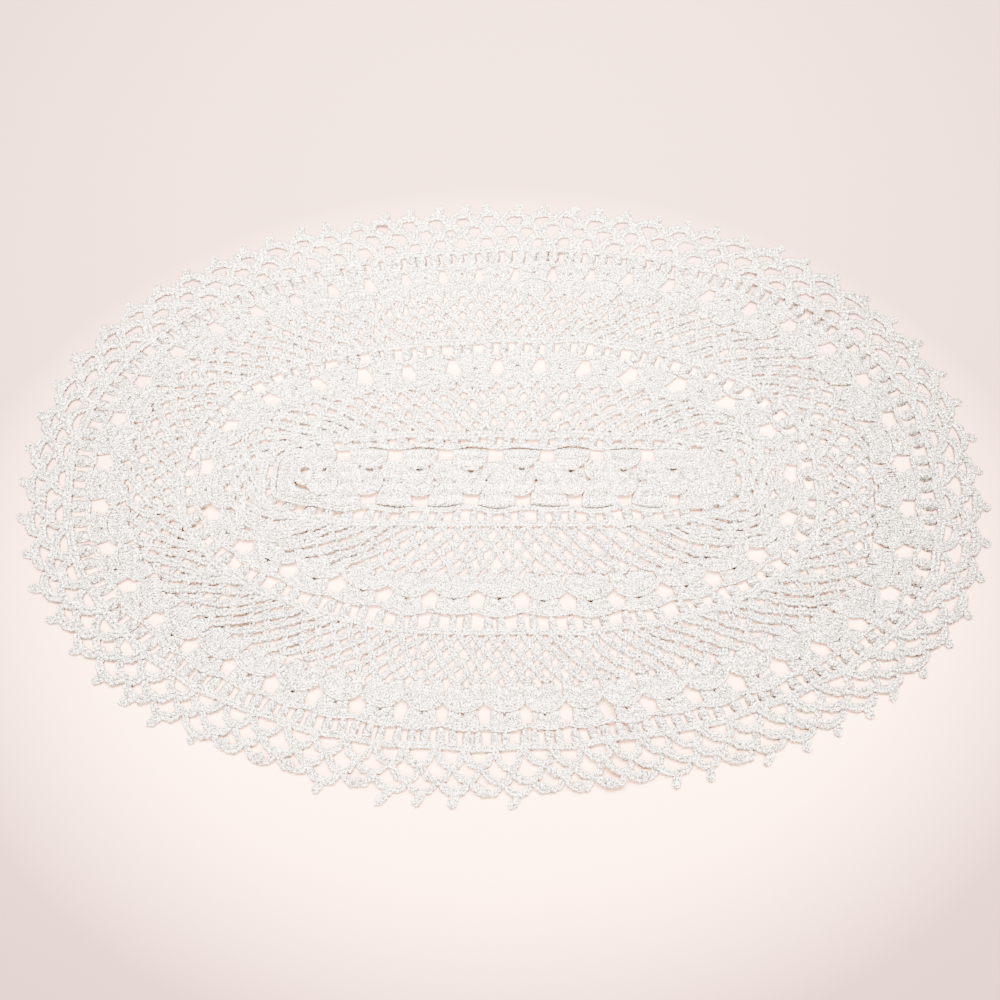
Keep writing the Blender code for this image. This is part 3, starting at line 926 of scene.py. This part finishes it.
# %% Work the second ladder, mesh 2, the second band and the last ladder
ladder_1 = Yarn("ladder_1")
ladder(ladder_1, LEVEL["ladder_1"], count=83)
mesh_2 = Yarn("mesh_2")
loops(mesh_2, mesh_2_joints, POINTED, width=MESH_WIDTH, sides=4)
fans_2 = Yarn("fans_2")
fan_band(fans_2, LEVEL["mesh_2_end"], LEVEL["fans_2_valley"], LEVEL["fans_2_end"], **FANS_2)
ladder_2 = Yarn("ladder_2")
ladder(ladder_2, LEVEL["ladder_2"], count=152)
print("the outer rounds have", mesh_2.count + fans_2.count + ladder_1.count + ladder_2.count, "points")

# %% [markdown]
# ## The open net and its picots
#
# The edge is three rows of larger loops, made with the same helper as the meshes. Its joints need a plan
# of their own: the rows grow narrower outwards, and the loops lean along the edge by an amount that
# changes slowly round the doily.

# %% Plan the net's joints
NET_LOOPS = 76
NET_REACH = (0.0, 0.40, 0.72, 1.0)  # share of the net's width that each row reaches
NET_START = 0.0175
NET_TWIST = (0.0010, 0.0026, 0.60)  # shares of the way round: the mean, its swing, and where it is most
NET_WIDTH = 3.3


def net_joints():
    """Joints of the net, row 0 on the last ladder."""
    joints = []
    mean, swing, where = NET_TWIST
    rows = len(NET_REACH)
    for row in range(rows):
        turn = (np.arange(NET_LOOPS) + (0.0 if row % 2 else 0.5)) / NET_LOOPS
        twist = mean + swing * np.cos(2 * np.pi * (turn - where))
        share = spread(turn) + NET_START - twist * (rows - 1 - row) / 2
        level = LEVEL["ladder_2"] + NET_REACH[row] + 0 * share
        if 0 < row < rows - 1:
            share = share + 0.5 * dice.standard_normal(NET_LOOPS) / girth(LEVEL["ladder_2"] + 0.5)
            level = level + 0.02 * dice.standard_normal(NET_LOOPS)
        joints.append(np.column_stack([share, level]))
    return joints


edge_joints = net_joints()
net = Yarn("net")
loops(net, edge_joints, SQUARE, width=NET_WIDTH)
print("the net has", (len(NET_REACH) - 1) * NET_LOOPS, "loops")

# %% [markdown]
# Each loop of the last row carries a picot, a tiny ring of chain that is closed with a knot. A picot
# leans the way the hook worked, and no two lean alike. Along the near side some of them have flipped
# back onto the net, so a folded picot is the same ring with its reach turned round and lifted.

# %% Work the picots
FOLDED_PICOTS = {47, 48, 49, 51, 55, 57, 58, 59, 60, 63}
PICOT_SHAPE = np.array(
    [(0.3, -0.8), (0.5, 0.9), (0.85, 2.8), (0.6, 4.4), (-0.6, 4.4), (-0.85, 2.8), (-0.5, 0.9), (-0.3, -0.8)]
)
PICOT_LEAN = -2.3  # mm sideways, at a reach of PICOT_REACH
PICOT_REACH = 4.8
FOLD_REACH = -0.55
FOLD_LIFT = 1.1


def picot(yarn, share, level, folded):
    """A small ring of chain on the edge, leaning a little, or folded back onto the net."""
    lean = PICOT_LEAN + 1.0 * dice.standard_normal()
    size = 1.0 + 0.06 * dice.standard_normal()
    reach = PICOT_SHAPE[:, 1] * size
    side = PICOT_SHAPE[:, 0] * size + lean * reach / PICOT_REACH
    outward = np.where(reach < 0, reach, reach * (FOLD_REACH if folded else 1.0)) + 0.4
    height = 0.9 + np.clip(reach, 0, 1.5) * (FOLD_LIFT if folded else 0.0)
    ring = cloth(share + side / girth(level), level, outward, height)
    chain(yarn, smooth(ring, steps=4), width=2.6, pitch=2.1)


for number, (share, level) in enumerate(edge_joints[-1]):
    picot(net, share, level, number in FOLDED_PICOTS)
print(len(FOLDED_PICOTS), "of", NET_LOOPS, "picots are folded back")

# %% [markdown]
# ## From strands to objects
#
# Every `Yarn` now becomes one object, and the cords are the first of them. Nine objects are few enough to
# look after, and each is small enough to be moved, hidden or exported by itself.

# %% Make the objects
pieces = [yarn.build() for yarn in (cords, middle, mesh_1, fans_1, ladder_1, mesh_2, fans_2, ladder_2, net)]
total = sum(len(piece.data.loops) - 2 * len(piece.data.polygons) for piece in pieces)
print(len(pieces), "pieces,", total, "triangles")

# %% [markdown]
# ## The cotton
#
# Mercerised cotton yarn is several plies twisted together: a soft white with a slight sheen, a fine
# diagonal line between plies, and a little loose fibre. White yarn has no pattern to paint, so its look is
# relief and grain: the plies and the fibres are heights for a Bump node, and the same fibres lighten and
# darken the white. Writing the maths as Python expressions keeps it readable, so one small class wraps a
# socket and turns + and * into Math nodes. Colours go through a Mix node instead, because a Math node
# would turn them grey.

# %% Wrap sockets so that they can be added and multiplied
class Shade:
    """A value in a material: a socket or a number."""

    nodes = None

    def __init__(self, socket):
        self.socket = socket

    @classmethod
    def node(cls, kind, settings=None, inputs=None):
        """A node of any type: its settings first, then its sockets' values or links."""
        made = cls.nodes.nodes.new(kind)
        for name, value in (settings or {}).items():
            setattr(made, name, value)
        for name, value in (inputs or {}).items():
            if isinstance(value, Shade):
                cls.nodes.links.new(value.socket, made.inputs[name])
            else:
                made.inputs[name].default_value = value
        return made

    @classmethod
    def math(cls, operation, *values):
        """The result of a Math node, as a value."""
        made = cls.node("ShaderNodeMath", {"operation": operation}, dict(enumerate(values)))
        return cls(made.outputs[0])

    def __add__(self, other):
        return self.math("ADD", self, other)

    __radd__ = __add__

    def __mul__(self, other):
        return self.math("MULTIPLY", self, other)

    __rmul__ = __mul__

    def __sub__(self, other):
        return self.math("SUBTRACT", self, other)

    def __rsub__(self, other):
        return self.math("SUBTRACT", other, self)

    def __truediv__(self, other):
        return self.math("DIVIDE", self, other)

    def __rtruediv__(self, other):
        return self.math("DIVIDE", other, self)

    def clamp(self, low=0.0, high=1.0):
        return self.math("MINIMUM", self.math("MAXIMUM", self, low), high)

    def sine(self):
        return self.math("SINE", self)

    def power(self, exponent):
        return self.math("POWER", self, exponent)


def distance(first, second):
    """How far off a point is that lies so far one way and so far the other."""
    return (first * first + second * second).power(0.5)


def axes(vector):
    """The X, Y and Z parts of a vector."""
    parts = Shade.node("ShaderNodeSeparateXYZ", None, {"Vector": vector})
    return [Shade(parts.outputs[axis]) for axis in ("X", "Y", "Z")]


def position():
    """Where on the object a point is, in metres."""
    return Shade(Shade.node("ShaderNodeTexCoord").outputs["Object"])


def noise(where, scale, detail=2.0):
    """Noise from 0 to 1, at so many waves a metre."""
    settings = {"noise_dimensions": "3D"}
    made = Shade.node("ShaderNodeTexNoise", settings, {"Vector": where, "Scale": scale, "Detail": detail})
    return Shade(made.outputs["Fac"])


def mix_colours(factor, first, second):
    """The first colour at 0, the second at 1."""
    made = Shade.node("ShaderNodeMix", {"data_type": "RGBA"}, {"Factor": factor, "A": first, "B": second})
    return Shade(made.outputs["Result"])


def tinted(value, tint):
    """A grey value as a colour, with red, green and blue scaled by a tint."""
    parts = {name: value * scale for name, scale in zip(("Red", "Green", "Blue"), tint)}
    return Shade(Shade.node("ShaderNodeCombineColor", None, parts).outputs["Color"])


print("operators:", [name for name in ("__add__", "__rsub__", "__mul__") if hasattr(Shade, name)])

# %% [markdown]
# The cotton takes three sizes of noise: fibres finer than a strand, fluff about as wide as a strand, and
# clouds that change over a whole fan. The fibres do most of the work. Their contrast is far stronger than
# that of real cotton seen close by, because at this distance each speck stands for the light and shade of
# a tuft. The cloth is also painted a touch darker at both ends, and towards the right and the far side:
# that is painted shade, where the light falls off.

# %% Mix the cotton
COOL_TINT = (0.985, 1.0, 0.985)
WARM_TINT = (1.0, 0.985, 0.955)
COTTON_BRIGHTNESS = 0.625
DARKEST = 0.22
BRIGHTEST = 0.97
PLY_TWIST = 5.2  # radians of the ply pattern for each mm along a strand
PLY_TURNS = 12.566  # and for once round it, which makes two plies
CLOTH_HALF_LENGTH = 0.21  # in metres
# painted shade: how much darker the cloth is painted at both ends, to the right and on the far side
PAINTED_SHADE_AT_ENDS = 0.23
PAINTED_SHADE_TO_RIGHT = 0.25
PAINTED_SHADE_TO_FAR_SIDE = 0.22


def new_material(name):
    """A new material, which the next nodes go into, and its shader."""
    material = bpy.data.materials.new(name)
    material.use_nodes = True
    Shade.nodes = material.node_tree
    return material, material.node_tree.nodes["Principled BSDF"]


def link(value, socket):
    """Feed a value to a socket."""
    Shade.nodes.links.new(value.socket, socket)


cotton, shader = new_material("white_crochet_cotton")
place = position()
to_right, to_far_side, _ = axes(place)
strand = Shade.node("ShaderNodeAttribute", {"attribute_name": "strand"})
along, around, mark = axes(Shade(strand.outputs["Vector"]))

ply = ((along * PLY_TWIST + around * PLY_TURNS).sine() * 0.5 + 0.5).power(0.6)
fibre = noise(place, 1750.0, 3.0)
fluff = noise(place, 700.0)
cloud = noise(place, 40.0)

bright = COTTON_BRIGHTNESS + 0.03 * cloud + 0.03 * mark + 0.02 * ply
bright = bright + 4.8 * (fibre - 0.5) + 0.6 * (fluff - 0.5)
# painted shade where the light falls off: darker at both ends, to the right and towards the far side
ends = (to_right / CLOTH_HALF_LENGTH).power(2.0)
bright = bright - PAINTED_SHADE_AT_ENDS * ends - PAINTED_SHADE_TO_RIGHT * to_right - PAINTED_SHADE_TO_FAR_SIDE * to_far_side
bright = bright.clamp(DARKEST, BRIGHTEST)
colour = mix_colours((cloud - 0.3) * 2.5, tinted(bright, COOL_TINT), tinted(bright, WARM_TINT))
link(colour, shader.inputs["Base Color"])
link(0.72 + 0.16 * fibre + 0.08 * (1 - ply), shader.inputs["Roughness"])
relief = 0.35 * ply + 0.7 * fibre + 0.3 * fluff
bump = Shade.node("ShaderNodeBump", None, {"Strength": 1.0, "Distance": 0.0004, "Height": relief})
link(Shade(bump.outputs["Normal"]), shader.inputs["Normal"])
shader.inputs["Sheen Weight"].default_value = 0.15
shader.inputs["Sheen Roughness"].default_value = 0.5
for piece in pieces:
    piece.data.materials.append(cotton)
print("the cotton uses", len(cotton.node_tree.nodes), "nodes")

# %% [markdown]
# ## Putting the stitches in the frame
#
# The stitches together stand for the solid, so it is hidden and they ride where it did. Each piece is
# hung from the frame's root.

# %% Hang the pieces from the frame's root
for piece in pieces:
    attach(piece, "root")
    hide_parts("doily")

# %% [markdown]
# ## The table
#
# The table is a matt surface, a little warmer than the yarn. A pool of light is painted into its colour:
# it is at its brightest under the doily, so that each hole shows as a light spot between shaded strands,
# and this painted light falls off to a darker tone beyond an oval that lies a little nearer than the doily.
# The lamps light only the part round the doily. From 45 cm outwards the table glows by itself instead, or
# it would turn dark brown towards the horizon when it is seen from low down.

# %% Lay the table
# painted light: a pool of light painted into the table's colour, bright under the doily, darker beyond
LIGHT_POOL_UNDER_DOILY = (0.98, 0.72, 0.59, 1.0)
SHADE_BEYOND_POOL = (0.435, 0.34, 0.325, 1.0)
POOL_HALF_LENGTH = 0.21  # in metres
POOL_HALF_DEPTH = 0.165
POOL_NEARER = 0.04
NO_GLOW = (0.0, 0.0, 0.0, 1.0)
GLOW = (1.0, 0.89, 0.85, 1.0)
GLOW_FROM = 0.45
FLOOR_REACH = 9

table, table_shader = new_material("warm_white_table")
to_right, to_far_side, _ = axes(position())
from_middle = distance(to_right / POOL_HALF_LENGTH, (to_far_side + POOL_NEARER) / POOL_HALF_DEPTH)
# the painted pool of light fades to the painted shade beyond its oval
painted_light_pool = mix_colours((2.5 * (from_middle - 0.75)).clamp(), LIGHT_POOL_UNDER_DOILY, SHADE_BEYOND_POOL)
link(painted_light_pool, table_shader.inputs["Base Color"])
away = (distance(to_right, to_far_side) - GLOW_FROM) / GLOW_FROM
link(mix_colours(away.clamp(), NO_GLOW, GLOW), table_shader.inputs["Emission Color"])
table_shader.inputs["Emission Strength"].default_value = 1.3
table_shader.inputs["Roughness"].default_value = 0.8
floor_mesh = bpy.data.meshes.new("floor")
corners = [(x * FLOOR_REACH, y * FLOOR_REACH, 0) for x, y in ((-1, -1), (1, -1), (1, 1), (-1, 1))]
floor_mesh.from_pydata(corners, [], [(0, 1, 2, 3)])
floor_mesh.materials.append(table)
floor = bpy.data.objects.new("floor", floor_mesh)
bpy.context.scene.collection.objects.link(floor)
floor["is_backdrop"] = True
print("the table is", 2 * FLOOR_REACH, "m square")

# %% [markdown]
# ## The light
#
# White on nearly white only reads if the light has a direction: the stitches are seen by the thin shadows
# on their near sides. So a long window light hangs high up, a little to the far side, and is soft enough
# that no shadow has a hard edge. A spot in front serves as a reflector that brightens the far side, and
# a pale surrounding fills the rest.

# %% Set the lights
def aim(thing, place, target):
    """Put a lamp at a place and turn it to a target."""
    thing.location = place
    way = np.array(target) - np.array(place)
    tilt = math.acos(-way[2] / np.linalg.norm(way))
    thing.rotation_euler = (tilt, 0.0, math.atan2(way[1], way[0]) - math.pi / 2)
    bpy.context.scene.collection.objects.link(thing)


LAMP_COLOUR = (1.0, 0.87, 0.77)

window = bpy.data.lights.new("window", "AREA")
window.shape = "RECTANGLE"
window.size = 1.0
window.size_y = 0.38
window.energy = 26.0
window.color = LAMP_COLOUR
aim(bpy.data.objects.new("window", window), (-0.02, 0.21, 0.90), (0.0, 0.0, 0.0))

reflector = bpy.data.lights.new("reflector", "SPOT")
reflector.shadow_soft_size = 0.30
reflector.spot_size = math.radians(34.0)
reflector.spot_blend = 1.0
reflector.energy = 95.0
reflector.color = LAMP_COLOUR
aim(bpy.data.objects.new("reflector", reflector), (0.0, -0.40, 0.66), (0.0, 0.21, 0.0))
world = bpy.data.worlds.new("studio")
bpy.context.scene.world = world
world.use_nodes = True
world.node_tree.nodes["Background"].inputs["Color"].default_value = (0.95, 0.93, 0.95, 1.0)
world.node_tree.nodes["Background"].inputs["Strength"].default_value = 0.36
bpy.context.scene.view_settings.view_transform = "AgX"
bpy.context.scene.view_settings.look = "AgX - Very High Contrast"
print("a window of", window.energy, "W, a reflector of", reflector.energy, "W and a pale room around")

# %% [markdown]
# ## The camera
#
# A doily is looked at from above and from one side, as it lies on a table in front of somebody. The lens
# is as long as the sensor is wide, which shows the near edge larger than the far one, as an eye would.

# %% Set the camera
ELEVATION = 69.7
EYE = (-0.867, -159.711, 403.023)  # in the pattern's own mm
camera_data = bpy.data.cameras.new("camera")
camera_data.sensor_width = 36.0
camera_data.lens = 36.0
camera_data.clip_start = 0.01
camera = bpy.data.objects.new("camera", camera_data)
camera.location = [(EYE[0] - MIDDLE[0]) * MM, (EYE[1] - MIDDLE[1]) * MM, EYE[2] * MM]
camera.rotation_euler = (math.radians(90.0 - ELEVATION), 0.0, 0.0)
bpy.context.scene.collection.objects.link(camera)
bpy.context.scene.camera = camera
print("camera", [round(v, 3) for v in camera.location], "looking down", ELEVATION, "degrees")

# %% [markdown]
# ## Print the size and finish
#
# The stitches must not outgrow the solid that they replace, so both boxes are printed side by side.

# %% Write both boxes and finish
view_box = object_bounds()
for name, box in (("solid", cad_box), ("stitches", view_box)):
    print("size of the", name, "in mm:", [round((high - low) / MM, 1) for low, high in zip(*box)])
